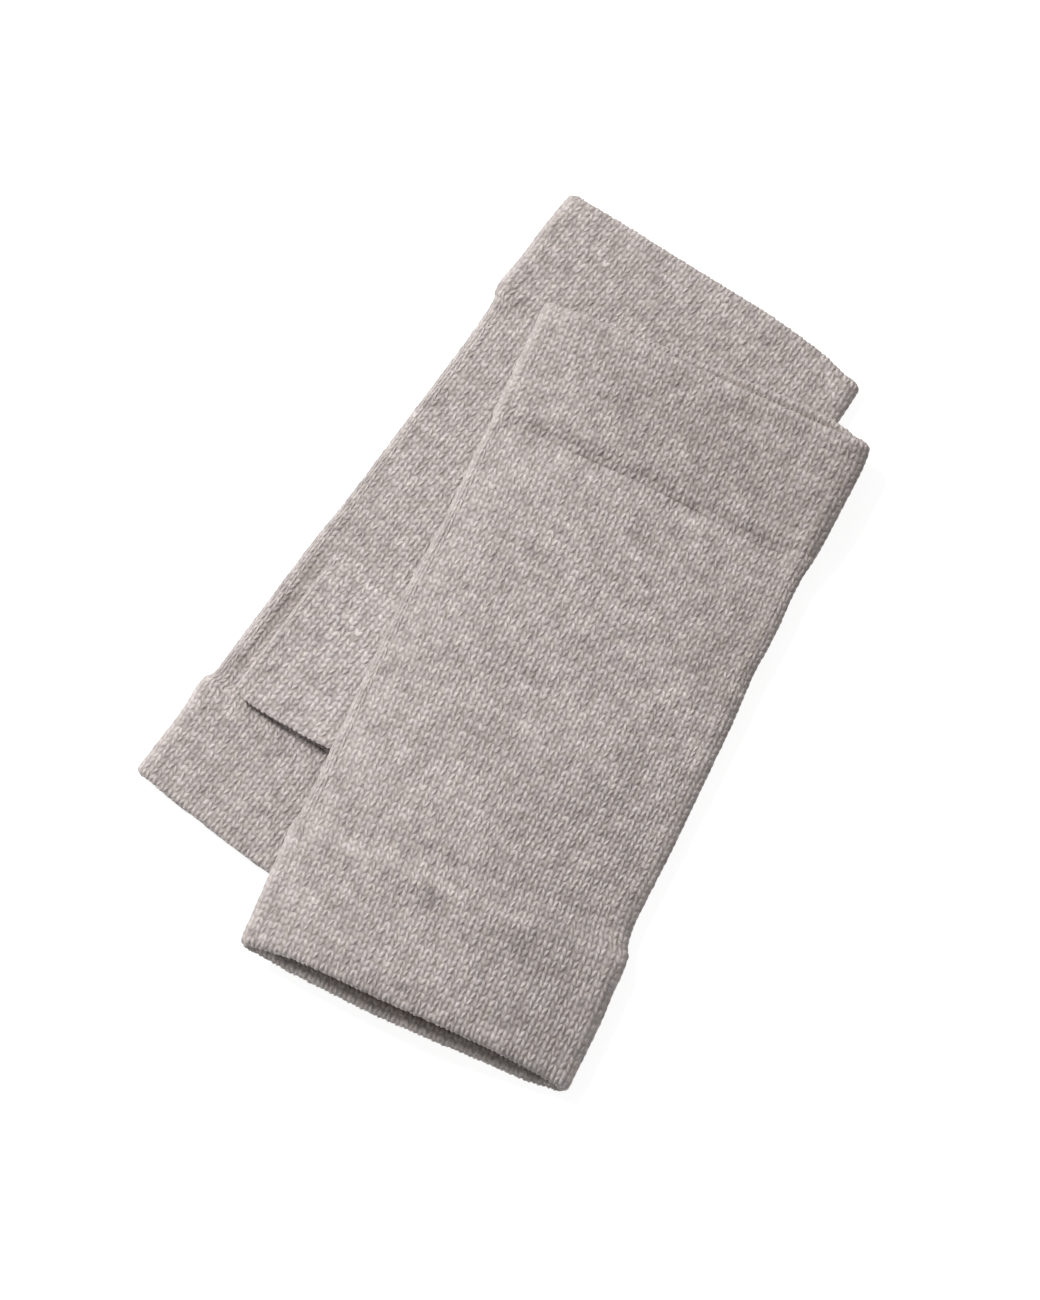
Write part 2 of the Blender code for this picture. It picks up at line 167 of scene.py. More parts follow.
def to_flat(warmer, x, y):
    dx = x - warmer.x
    dy = y - warmer.y
    across = dx * math.cos(warmer.turn) - dy * math.sin(warmer.turn)
    along = -dx * math.sin(warmer.turn) - dy * math.cos(warmer.turn)
    return across, along


def fall(distance, width):
    return 1.0 - smooth((distance - EDGE_MARGIN) / width)


def support(across, along):
    """1 over the lower warmer, and softly down to 0 off its sides and ends."""
    side = fall(np.maximum(LOWER_SIDES[0] - across, across - LOWER_SIDES[1]), SIDE_FALL)
    ends = fall(np.maximum(LOWER_LENGTH[0] - along, along - LOWER_LENGTH[1]), END_FALL)
    return side * ends


def over_lower(x, y):
    """Height of cloth lying on the lower warmer, its thumb left out."""
    across, along = to_flat(LOWER, x, y)
    wrist_hem = smooth((LOWER_SEAMS[0] + STEP_START - along) / STEP_FALL)
    finger_hem = smooth((along - LOWER_SEAMS[1] + STEP_START) / STEP_FALL)
    step = (HEM_THICKNESS - BODY_THICKNESS) * np.maximum(wrist_hem, finger_hem)
    return (BODY_THICKNESS + step + DRAPE_GAP) * support(across, along)


def thumb_patch(warmer, x, y):
    """1 over a warmer's thumb, and softly down to 0 round it."""
    across, along = to_flat(warmer, x, y)
    beyond = np.abs(across - warmer.thumb_left - THUMB_WIDTH / 2) - THUMB_WIDTH / 2
    root = smooth((along - THUMB_SEAM + ROOT_LEAD) / ROOT_RISE)
    return fall(beyond, THUMB_FALL) * root * fall(along - THUMB_END, THUMB_FALL)


def over_all(x, y):
    """Height of the upper warmer's underside, over the lower warmer and both thumbs."""
    first = (THUMB_THICKNESS + THUMB_GAP) * thumb_patch(LOWER, x, y)
    second = (THUMB_THICKNESS + OWN_THUMB_GAP) * thumb_patch(UPPER, x, y)
    near = np.maximum(BLEND - np.abs(first - second), 0.0) / BLEND
    raised = np.minimum(1.0, np.minimum(first, second) / BLEND)
    return over_lower(x, y) + np.maximum(first, second) + near * near * raised * BLEND_LIFT


def on_surface(x, y):
    return np.zeros_like(x)


middle_height = float(over_all(np.array(0.0), np.array(0.0)))
print("the upper warmer lies", round(middle_height, 1), "mm up at its middle")

# %% [markdown]
# ## Soft troughs and ridges
#
# Wool keeps the memory of how it was folded. The real pair shows a trough where each hem is linked to
# the body, a dent or two near the corners, and slow swells over the whole cloth. Each trough or ridge is
# one row of a table, since rows of different length and depth look more natural than any even noise.

# %% Tables of creases
# Columns: start across, start along, end across, end along, half width, height.
UPPER_CREASES = np.array([
    (8, 39.5, 34, 40.5, 2.6, -0.75), (30, 40.5, 60, 41.5, 2.2, -1.00),
    (58, 41.5, 90, 43.0, 2.4, -1.05), (2, 45.5, 40, 47.5, 4.0, 0.40),
    (44, 47.0, 92, 50.0, 4.5, 0.45), (24, 38.0, 96, 41.0, 16.0, -1.30),
    (30, 4.0, 96, 4.0, 11.0, 1.20), (30, 62.0, 34, 150.0, 34.0, 2.40),
    (6, 6.0, 92, 7.0, 3.5, 0.30), (10, 22.0, 50, 25.0, 9.0, 0.25),
    (80, 66.0, 97, 60.0, 3.2, -0.60), (84, 78.0, 97, 73.0, 2.8, -0.50),
    (86, 88.0, 97, 86.0, 3.0, 0.45), (82, 99.0, 96, 101.0, 2.6, -0.45),
    (20, 78.0, 74, 96.0, 13.0, -0.45), (12, 112.0, 60, 104.0, 12.0, 0.45),
    (50, 132.0, 84, 122.0, 10.0, 0.40), (16, 158.5, 88, 155.0, 2.8, -0.55),
    (10, 165.5, 90, 162.0, 3.4, 0.35), (12, 176.0, 44, 170.5, 4.0, -0.50),
    (44, 170.5, 64, 177.0, 4.2, -0.40), (60, 184.0, 92, 180.0, 7.0, 0.35),
])
LOWER_CREASES = np.array([
    (4, 35.5, 40, 34.0, 2.2, -0.80), (40, 34.0, 94, 34.5, 2.2, -0.70),
    (6, 42.0, 90, 41.0, 4.0, 0.40), (4, 3.0, 94, 2.0, 4.5, -0.30),
    (10, 60.0, 30, 88.0, 9.0, -0.45), (50, 70.0, 80, 100.0, 12.0, 0.45),
    (4, 162.5, 90, 162.0, 2.4, -0.50), (6, 170.0, 92, 170.5, 3.2, 0.35),
    (5.6, 112.0, 6.8, 164.0, 2.2, -1.10), (12, 184.0, 50, 188.0, 8.0, -0.40),
    (2, 106.0, 8, 150.0, 3.5, -0.35), (60, 120.0, 92, 140.0, 10.0, 0.40),
])
print(len(UPPER_CREASES), "creases on the upper warmer,", len(LOWER_CREASES), "on the lower")

# %% [markdown]
# ## Lighter and darker areas, mostly painted shade
#
# Some areas of the real pair are lighter or darker than their shape explains, and the colour is made lighter
# or darker there. Most of it is painted shade: along the upper warmer's right edge, which turns away from
# the lamp, in a patch near that edge where the cloth slopes away, and in the crease beside the lower thumb.
# The other patches make the wrist hems a little darker, and the lower thumb and the upper finger hem a
# little lighter. Each row of the first two tables is one soft patch. The other two say where an edge stands
# out beside a seam, since a hem is thicker than the body.

# %% Tables of painted shade, tones and bulges
# Columns: middle across, middle along, half width, half length, change of lightness, most of it painted
# shade.
UPPER_SHADE_AND_TONES = (
    (60, 20, 48, 19, -0.115), (98, 22, 6, 22, -0.12), (98, 104, 6, 60, -0.07), (98, 182, 6.5, 22, -0.09),
    (86, 64, 14, 20, -0.09), (50, 181, 48, 17, 0.015),
)
LOWER_SHADE_AND_TONES = (
    (30, 142, 15, 26, 0.12), (50, 14, 50, 18, -0.060), (6.8, 138, 2.2, 26, -0.16),
)

# Columns: edge (-1 left, 1 right), seam, way to the hem, how far the hem stands out beside its seam.
UPPER_BULGES = ((1, 157.6, 1, 0.7), (-1, 162.4, 1, 0.6), (-1, 38.4, -1, 0.4))
LOWER_BULGES = ((-1, 166.0, 1, 1.0), (-1, 33.4, -1, 0.7), (1, 32.0, -1, 0.4), (1, 165.8, 1, 0.6))
# Millimetres past the seam: half the step's length, where it starts to fade, and how slowly it does.
BULGE_STEP = 1.2
BULGE_FULL = 2.0
BULGE_FADE = 7.0
# The body is drawn in a little before the seam: by this share, this far away and over this length.
WAIST_SHARE = 0.2
WAIST_PLACE = 3.0
WAIST_LENGTH = 2.4
# A crease's depth varies along it by this share, in a wave that is shifted from crease to crease.
CREASE_TAPER = 0.25
CREASE_WAVE = 5.0
CREASE_SHIFT = 0.7
# Past its ends a crease fades at this share of the rate beside it.
CREASE_RUN_OUT = 0.5
# Columns: length of the wave across and along, share of the seed, weight.
SWELL_WAVES = ((11.3, 31.0, 1.0, 1.0), (27.1, -17.7, 2.1, 1.0), (43.0, 9.4, 0.6, 0.6))


def bulge(warmer, edge, along):
    """How far one edge is pushed out beside the seams, where the hem is thicker than the body."""
    total = np.zeros_like(along)
    for side, seam, way, size in UPPER_BULGES if warmer is UPPER else LOWER_BULGES:
        if side == edge:
            past = (along - seam) * way
            step = smooth((past + BULGE_STEP) / (2 * BULGE_STEP))
            fade = np.exp(-(np.maximum(past - BULGE_FULL, 0.0) / BULGE_FADE) ** 2)
            waist = np.exp(-((past + WAIST_PLACE) / WAIST_LENGTH) ** 2)
            total += size * (step * fade - WAIST_SHARE * waist)
    return total


def crease_height(table, across, along):
    """Sum of the table's soft troughs and ridges at each place."""
    height = np.zeros_like(across)
    for x0, y0, x1, y1, half_width, depth in table:
        run = np.array([x1 - x0, y1 - y0])
        length = float(np.hypot(*run))
        share = ((across - x0) * run[0] + (along - y0) * run[1]) / length ** 2
        aside = ((across - x0) * run[1] - (along - y0) * run[0]) / length
        beyond = np.maximum(np.maximum(-share, share - 1.0), 0.0) * length
        distance = np.hypot(aside, beyond * CREASE_RUN_OUT)
        wave = np.sin(CREASE_WAVE * share + CREASE_SHIFT * x0)
        taper = 1.0 - CREASE_TAPER + CREASE_TAPER * wave
        height += depth * taper * np.exp(-(distance / half_width) ** 2)
    return height


def swell(across, along, seed):
    """Slow unevenness from -1 to 1, a few centimetres long."""
    total = 0.0
    for wide, long, shift, weight in SWELL_WAVES:
        total = total + weight * np.sin(across / wide + along / long + shift * seed)
    return total / sum(wave[3] for wave in SWELL_WAVES)


print(len(UPPER_SHADE_AND_TONES) + len(LOWER_SHADE_AND_TONES), "soft patches,",
      len(UPPER_BULGES) + len(LOWER_BULGES), "places where an edge stands out")

# %% [markdown]
# ## The shape of one stitch
#
# Plain knitting shows columns of Vs. Each V is one loop: its two legs start close together, lean
# outwards, and slip under the foot of the next V. Thousands of modelled loops would be far too heavy,
# but a raised pattern on a fine grid shows the same Vs. A column of Vs is called a wale and a row of
# them a course, so positions are counted in wales and courses.

# %% Raised stitches
WALE_WIDTH = 2.71
COURSE_LENGTH = 1.886
LEG_HALF_WIDTH = 0.236
LEG_LENGTH = 1.16
LEG_FOOT = 0.135
LEG_SPREAD = 0.27
LEG_ROUND = 0.98
LEG_POWER = 0.60
LEG_SINK = 0.36
STRAY_ASIDE = 0.17
STRAY_WIDTH = 0.60
STRAY_HEIGHT = 0.75
COUNT_FROM = 64.0
NEXT_NUMBER = 500.0
HASH_START = 0xDEADBEEF + 21
HASH_TURNS = (14, 11, 25, 16, 4, 14, 24)
STITCH_HEIGHT = 0.30
FOLD_STITCH_HEIGHT = 0.40
COLUMNS_PER_WALE = 8
COARSE_COLUMNS = 2
ROWS_PER_COURSE = 4


def leg_random(leg, course):
    """The number from 0 to 1 that a white noise node gives for these two whole numbers."""
    def turned(value, bits):
        return (value << np.uint32(bits)) | (value >> np.uint32(32 - bits))

    first = np.full(leg.shape, HASH_START, np.uint32)
    second = first + course.astype(np.float32).view(np.uint32)
    third = first + leg.astype(np.float32).view(np.uint32)
    for bits in HASH_TURNS:
        mixed = (first ^ second) - turned(second, bits)
        first, second, third = third, mixed, second
    return second / 0xFFFFFFFF


def leg_height(wale, course):
    """Height from 0 to 1 of the V-shaped legs at a place counted in wales and courses."""
    column = np.floor(wale)
    aside = wale - column - 0.5
    leg = column * 2.0 + (aside < 0.0)
    height = np.zeros_like(wale)
    for behind in (0.0, 1.0):
        number = np.floor(course) - behind
        share = (course - number) / LEG_LENGTH
        number = number + COUNT_FROM
        shift, wider, taller = [leg_random(leg + i * NEXT_NUMBER, number) - 0.5 for i in range(3)]
        lean = LEG_FOOT + LEG_SPREAD * share + STRAY_ASIDE * shift
        offset = (np.abs(aside) - lean) / (LEG_HALF_WIDTH * (1.0 + STRAY_WIDTH * wider))
        left = 1.0 - offset ** 2 - LEG_ROUND * (2.0 * share - 1.0) ** 2
        top = (1.0 + STRAY_HEIGHT * taller) * (1.0 - LEG_SINK * share)
        height = np.maximum(height, np.clip(left, 0.0, 1.0) ** LEG_POWER * top * (share < 1.0))
    return height


print("a stitch is", WALE_WIDTH, "by", COURSE_LENGTH, "mm")

# %% [markdown]
# ## One skin through rows of points
#
# Every piece is one closed skin: it runs out along the outer face, round an edge or a fold, and back inside.
# Outer rows carry the raised stitches, so they need many points. The face that lies on the surface gets
# fewer, and the hidden inner side fewest, which keeps each piece light. Where dense and coarse rows meet,
# one face with extra corners joins them, so there is never a gap. Each point also carries two marks that the
# material reads: how felted the cloth is there, and how light, a tone that is mostly painted shade.


# %% Building a skin
SHARP_ANGLE = 60.0


def wale_columns(count, dense):
    """Places round the tube in wales: many per wale inside the dense ranges, and two elsewhere."""
    places = []
    for wale in range(count):
        is_dense = any(low <= wale < high for low, high in dense)
        steps = COLUMNS_PER_WALE if is_dense else COARSE_COLUMNS
        places += [wale + i / steps for i in range(steps)]
    return np.array(places)


def skin(name, count, places, blocks):
    """A closed mesh through blocks of rows: ("dense" or "plain", points, courses, felt, tone) each."""
    total = len(places)
    dense = np.diff(np.append(places, count)) < 0.75 / COARSE_COLUMNS
    edges = [i for i in range(total) if places[i] == int(places[i])] + [total]
    faces = []
    rows = []
    start = 0
    for block in blocks:
        size = block[1].shape[0] * total
        rows.append((block[0], start + np.arange(size).reshape(-1, total)))
        start += size
    for kind, index in rows:
        if kind == "dense":
            for c in range(total):
                d = (c + 1) % total
                if dense[c]:
                    quads = np.stack([index[:-1, c], index[:-1, d], index[1:, d], index[1:, c]], 1)
                    faces += quads.tolist()
                    continue
                corners = [index[:-2:2, c], index[:-2:2, d]]
                if dense[d]:
                    corners.append(index[1:-1:2, d])
                corners += [index[2::2, d], index[2::2, c]]
                if dense[c - 1]:
                    corners.append(index[1:-1:2, c])
                faces += np.stack(corners, 1).tolist()
        else:
            for low, high in zip(edges, edges[1:]):
                a = index[:, low]
                b = index[:, high % total]
                faces += np.stack([a[:-1], b[:-1], b[1:], a[1:]], 1).tolist()
    for (kind, index), (next_kind, following) in zip(rows, rows[1:] + rows[:1]):
        for low, high in zip(edges, edges[1:]):
            near, far = (range(low, high + 1) if each == "dense" else (low, high)
                         for each in (kind, next_kind))
            corners = [int(index[-1, i % total]) for i in near]
            corners += [int(following[0, i % total]) for i in far[::-1]]
            faces.append(corners)
    points = np.concatenate([block[1].reshape(-1, 3) for block in blocks]) * MM
    courses = np.concatenate([np.repeat(block[2], total) for block in blocks])
    wales = np.concatenate([np.tile(places, block[1].shape[0]) for block in blocks])
    marks = {}
    for place, label in ((3, "felt"), (4, "tone")):
        values = [np.broadcast_to(block[place], block[1].shape[:2]).ravel() for block in blocks]
        marks[label] = np.concatenate(values)
    # The tone mark is mostly painted shade: inside hems and thumbs, and along edges and creases.
    marks["tone"] = marks["tone"] * painted_shade_and_tone(name, points)
    return mesh_from(name, count, points, faces, wales, courses, marks)


def mesh_from(name, count, points, faces, wales, courses, marks):
    """Makes the mesh without unused points, mapped in wales and courses and marked at its points."""
    flat = np.concatenate([np.asarray(face) for face in faces])
    sizes = np.array([len(face) for face in faces])
    used, flat = np.unique(flat, return_inverse=True)
    starts = np.concatenate([[0], np.cumsum(sizes)[:-1]])
    data = bpy.data.meshes.new(name)
    data.vertices.add(len(used))
    data.vertices.foreach_set("co", points[used].ravel())
    data.loops.add(len(flat))
    data.loops.foreach_set("vertex_index", flat.astype(np.int32))
    data.polygons.add(len(faces))
    data.polygons.foreach_set("loop_start", starts.astype(np.int32))
    data.update(calc_edges=True)
    for label, values in marks.items():
        data.attributes.new(label, "FLOAT", "POINT").data.foreach_set("value", values[used])
    u = wales[used][flat]
    widest = np.repeat(np.maximum.reduceat(u, starts), sizes)
    u = np.where(widest - u > count / 2, u + count, u)
    layer = data.uv_layers.new(name="knit")
    layer.data.foreach_set("uv", np.stack([u, courses[used][flat]], 1).ravel())
    data.validate()
    data.shade_smooth()
    data.set_sharp_from_angle(angle=math.radians(SHARP_ANGLE))
    solid = bmesh.new()
    solid.from_mesh(data)
    if solid.calc_volume(signed=True) < 0:
        data.flip_normals()
    solid.free()
    item = bpy.data.objects.new(name, data)
    scene.collection.objects.link(item)
    print(name, len(faces), "faces")
    return item


def painted_shade_and_tone(name, points):
    """How light the colour is at each point, 1 in most places, mostly through painted shade."""
    warmer, table = (UPPER, UPPER_SHADE_AND_TONES) if name.startswith("upper") else (LOWER, LOWER_SHADE_AND_TONES)
    across, along = to_flat(warmer, points[:, 0] / MM, points[:, 1] / MM)
    tone = np.ones(len(points))
    for middle, place, half_width, half_length, change in table:
        aside = ((across - middle) / half_width) ** 2
        away = ((along - place) / half_length) ** 4
        tone += change * np.exp(-aside - away)
    return tone


def raise_stitches(points, wales, courses, height, seams=(), facing=None):
    """Moves a grid of points out by the stitches' height, and rows at a seam the way that facing says.

    Two pieces that share a seam get the same points there, so no gap shows between them.
    """
    across = np.roll(points, -1, axis=1) - np.roll(points, 1, axis=1)
    along = np.gradient(points, axis=0)
    normal = np.cross(along, across)
    normal /= np.linalg.norm(normal, axis=2, keepdims=True) + 1e-9
    grid_wales, grid_courses = np.meshgrid(wales, courses)
    lift = height * (leg_height(grid_wales, grid_courses) - 0.5)
    raised = points + normal * lift[..., None]
    outward = lift * np.sign(height)
    for row in seams:
        raised[row] = points[row] + facing * outward[row, :, None]
    return raised


print("skins are closed, and mapped in wales and courses")

# %% [markdown]
# ## Points on a flattened tube
#
# Going round the tube, a point has a place across it from -1 to 1 and a direction: up on the top face,
# down on the bottom one, and turning from one to the other in the two rounded edges. From these and the
# distance along the warmer comes its place in space, set in by any depth. The rounded edges are wider
# than true half circles, because pressed cloth folds flatter than a pipe. The upper warmer's finger end
# is a little open: there the top layer stands off the lower one.

# %% Points of the tubes
FACE_WALES = 33
EDGE_WALES = 4
TUBE_WALES = 2 * (FACE_WALES + EDGE_WALES)
MOUTH_START = 172.0
MOUTH_FULL = 197.0
RIM_STRETCH = 1.6
RIM_WIDEST = 9.4
RIM_EVENING = 0.115
DRIFT = 0.45
DRIFT_ALONG = 1.4
DRIFT_SEEDS = (1.3, 4.1)
CROWN = 0.8
SWELL_HEIGHT = 0.18
SWELL_SEED = 2.2
UNDERSIDE_SHARE = 0.5
WARMER_WIDTH = 97.0


def ring(wales, face, edge, evening):
    """Place and direction round a tube. evening keeps wales even round an edge wider than a circle."""
    stops = [0, face, face + edge, 2 * face + edge, 2 * (face + edge)]
    place = np.interp(wales, stops, [-1, 1, 1, -1, -1])
    turn = np.interp(wales, stops, [0, 0, math.pi, math.pi, 2 * math.pi])
    turn = turn - evening * np.sin(2.0 * turn)
    return place, np.sin(turn), np.cos(turn)


def table_value(table, at, column):
    """A table's value between its rows, with the corners rounded off."""
    steps = (-3.0, -1.0, 1.0, 3.0)
    return sum(np.interp(at + step, table[:, 0], table[:, column]) for step in steps) / len(steps)


def end_line(warmer, name, place, up):
    """Where a hem's fold or seam lies along the warmer, at each place round the tube."""
    top, under = END_COLUMNS[name]
    across = mix(warmer.ends[0, 0], warmer.ends[-1, 0], (place + 1.0) / 2)
    lower_layer = table_value(warmer.ends, across, under)
    upper_layer = table_value(warmer.ends, across, top)
    return mix(lower_layer, upper_layer, (1.0 + up) / 2)


def face_direction(warmer, directions):
    """The way out of a level tube, all round it."""
    side, up = directions[1:]
    return np.stack([side * math.cos(warmer.turn), -side * math.sin(warmer.turn), up], axis=1)


def tube_thickness(warmer, across, along):
    """Thick at the hems, drawn in at their seams, and fuller where nothing presses on the cloth."""
    wrist = table_value(warmer.ends, across, 3)
    finger = table_value(warmer.ends, across, 4)
    into = np.minimum(along - wrist, finger - along)
    full = np.where(into >= 0, BODY_THICKNESS, HEM_THICKNESS)
    pressed = mix(SEAM_THICKNESS, full, smooth(np.abs(into) / SEAM_REACH))
    return pressed + warmer.loft * (1.0 - support(*to_flat(LOWER, *to_world(warmer, across, along))))


def tube_points(warmer, rest, directions, along, inset, facing=0.0):
    """Points of a flattened tube, which facing takes from their depth (0) to a hem's inmost side (1).

    inset is that depth, or a share of half the thickness if negative.
    """
    place, side, up = directions
    left = table_value(warmer.edges, along, 1)
    right = table_value(warmer.edges, along, 2)
    middle = (left + right) / 2
    thickness = tube_thickness(warmer, middle + place * (right - left) / 2, along)
    depth = mix(np.where(inset < 0, -inset * thickness / 2, inset), FACING_INSIDE * thickness / 2, facing)
    stretch = np.minimum(RIM_STRETCH, RIM_WIDEST / thickness)
    straight = (right - left - thickness * stretch) / 2
    radius = thickness / 2 - depth
    across = middle + place * straight + side * radius * stretch
    across += bulge(warmer, 1, along) * np.maximum(place, 0.0) ** 6
    across -= bulge(warmer, -1, along) * np.maximum(-place, 0.0) ** 6
    wander = DRIFT * (1.0 - place ** 4) * (1.0 - side ** 2)
    across = across + wander * swell(along, across, DRIFT_SEEDS[0])
    along = along + wander * swell(across, along, DRIFT_SEEDS[1]) * DRIFT_ALONG
    x, y = to_world(warmer, across, along)
    height = rest(x, y) + thickness / 2 + up * radius
    top = (1.0 + up) / 2
    opening = smooth((along - MOUTH_START) / (MOUTH_FULL - MOUTH_START)) * (1.0 - place ** 4)
    creases = UPPER_CREASES if warmer is UPPER else LOWER_CREASES
    dents = crease_height(creases, across, along) + SWELL_HEIGHT * swell(across, along, SWELL_SEED)
    dents = dents - CROWN * np.abs(place) ** 3
    hidden = crease_height(creases, WARMER_WIDTH - across, along)
    flat = 1.0 - np.abs(place) ** 12
    height = height + warmer.mouth_lift * top * opening + top * dents * flat - top * CROWN * (1.0 - flat)
    raised = np.maximum(UNDERSIDE_SHARE * (1.0 - top) * hidden * flat, 0.0)
    height = height + raised * (1.0 - side ** 2)
    return np.stack([x, y, height], axis=2)


print(TUBE_WALES, "wales round each tube")

# %% [markdown]
# ## The body of a warmer
#
# The body is a plain tube of knitting between the two hems. Its outer face carries every stitch. The
# number of courses comes from its length, so the stitches keep their real size.

# %% Body cloth
OUTER_INSET = 0.22
CLOTH = 1.3
TOP_DENSE = [(0, FACE_WALES + 2), (TUBE_WALES - 2, TUBE_WALES)]
ALL_DENSE = [(0, TUBE_WALES)]
SEAM_TUCK = 0.03
SEAM_SINK = 0.4
EDGE_FELT = 0.5


def course_rows(count):
    return np.arange(count * ROWS_PER_COURSE + 1) / ROWS_PER_COURSE


def body_cloth(warmer, rest, courses, first_course):
    places = wale_columns(TUBE_WALES, TOP_DENSE)
    directions = ring(places, FACE_WALES, EDGE_WALES, RIM_EVENING)
    place, side, up = directions
    start = end_line(warmer, "wrist_seam", place, up)
    stop = end_line(warmer, "finger_seam", place, up)

    def points_at(rows, depth):
        along = mix(start[None, :], stop[None, :], rows[:, None] / courses)
        return tube_points(warmer, rest, directions, along, depth)

    rows = course_rows(courses)
    outer = raise_stitches(points_at(rows, OUTER_INSET), places, rows + first_course, STITCH_HEIGHT,
                           (0, -1), face_direction(warmer, directions))
    tucked = np.array([-SEAM_TUCK, courses + SEAM_TUCK])
    ends = points_at(tucked, OUTER_INSET + SEAM_SINK)
    outer = np.concatenate([ends[:1], outer, ends[1:]])
    rows = np.concatenate([tucked[:1], rows, tucked[1:]])
    felt = EDGE_FELT * side ** 2
    inner_rows = np.arange(courses, -1, -2, dtype=float)
    inner = points_at(inner_rows, CLOTH)
    blocks = [("dense", outer, rows + first_course, felt, 1.0),
              ("plain", inner, inner_rows + first_course, 0.0, 1.0)]
    return skin(warmer.name + "_body_knit", TUBE_WALES, places, blocks)


PIECES = {
    "lower_body": body_cloth(LOWER, on_surface, courses=70, first_course=20),
    "upper_body": body_cloth(UPPER, over_all, courses=64, first_course=20),
}

# %% [markdown]
# ## The hems
#
# A hem is the end of the tube turned to the inside and linked down, so it is two layers thick on each
# face and ends in a round fold, not in a raw edge. The skin follows it: out along the outer layer, round
# the fold, back along the facing inside, and then along the hidden sides of both layers.

# %% Hem cloth
FACING_COURSES = 6
FOLD_COURSES = 3
FOLD_FELT = 0.22
FELT_COURSES = 1.7
INSIDE_SHADE = 0.45
SHADE_START = 0.6
SHADE_COURSES = 2.5
NEAR_FOLD = 0.97
FACING_ROWS = 8
HIDDEN_ROWS = 10


def hem_cloth(warmer, rest, end, courses, first_course, dense):
    places = wale_columns(TUBE_WALES, dense)
    directions = ring(places, FACE_WALES, EDGE_WALES, RIM_EVENING)
    place, side, up = directions
    outward = -1.0 if end == "wrist" else 1.0
    seam = end_line(warmer, end + "_seam", place, up)[None, :]
    fold = end_line(warmer, end, place, up)[None, :] - outward * FOLD_REACH
    rows = course_rows(courses + FOLD_COURSES + FACING_COURSES)[:, None]
    turned = np.clip((rows - courses) / FOLD_COURSES, 0.0, 1.0) * math.pi
    share = np.clip(rows / courses, 0.0, 1.0)
    back = np.clip(rows - courses - FOLD_COURSES, 0.0, None) * COURSE_LENGTH
    along = mix(seam, fold, share) + outward * (FOLD_REACH * np.sin(turned) - back)
    outer = tube_points(warmer, rest, directions, along, OUTER_INSET, (1.0 - np.cos(turned)) / 2)
    counted = first_course + outward * rows[:, 0]
    near_fold = np.exp(-((rows - courses - FOLD_COURSES / 2) / FELT_COURSES) ** 2)
    height = outward * mix(STITCH_HEIGHT, FOLD_STITCH_HEIGHT, near_fold)
    outer = raise_stitches(outer, places, counted, height, (0,), face_direction(warmer, directions))
    felt = np.maximum(FOLD_FELT * near_fold, EDGE_FELT * side[None, :] ** 2)
    # Painted shade: the cloth past the fold, inside the hem's opening, is darkened.
    inside = 1.0 - INSIDE_SHADE * smooth((rows - courses - SHADE_START * FOLD_COURSES) / SHADE_COURSES)
    reach = 1.0 - FACING_COURSES * COURSE_LENGTH / np.abs(fold - seam).mean()
    hidden = []
    for depth, shares in ((FACING_INSIDE, np.linspace(reach - 1.0 + NEAR_FOLD, 0.0, FACING_ROWS)),
                          (FACING_FACE, np.linspace(0.0, NEAR_FOLD, HIDDEN_ROWS)),
                          (OUTER_INSIDE, np.linspace(NEAR_FOLD, 0.0, HIDDEN_ROWS))):
        line = mix(seam, fold, shares[:, None])
        hidden.append(tube_points(warmer, rest, directions, line, -depth + 0.0 * line))
    hidden = np.concatenate(hidden)
    blocks = [("dense", outer, counted, felt, inside),
              ("plain", hidden, np.zeros(len(hidden)), 0.0, 1.0)]
    return skin(warmer.name + "_" + end + "_hem_knit", TUBE_WALES, places, blocks)


PIECES.update({
    "lower_wrist_hem": hem_cloth(LOWER, on_surface, "wrist", courses=18, first_course=20, dense=TOP_DENSE),
    "lower_finger_hem": hem_cloth(LOWER, on_surface, "finger", courses=17, first_course=90, dense=TOP_DENSE),
    "upper_wrist_hem": hem_cloth(UPPER, over_all, "wrist", courses=18, first_course=20, dense=ALL_DENSE),
    "upper_finger_hem": hem_cloth(UPPER, over_all, "finger", courses=18, first_course=84, dense=ALL_DENSE),
})

# %% [markdown]
# ## The thumbs
#
# Each thumb is a short narrow tube, sewn round a slot in the palm. It lies on the palm and points to the
# fingers. At its root the layer away from the palm bends down into the slot, and at its open end the
# cloth is one layer with a rounded edge.

# %% Thumb cloth
THUMB_FACE_WALES = 12
THUMB_EDGE_WALES = 2
THUMB_WALES = 2 * (THUMB_FACE_WALES + THUMB_EDGE_WALES)
THUMB_COURSES = 25
THUMB_CLOTH = 1.0
THUMB_INNER_ROWS = 14
LIP_COURSES = 1
LIP_REACH = 0.6
LIP_LIT = 0.4
# How far the open end stands up, from what share of the length, and how much of that each part gets.
THUMB_LIFT = 0.9
LIFT_START = 0.75
LIFT_LEFT = 0.4
LIFT_RIGHT = 1.0
LIFT_PALM_SIDE = 0.3


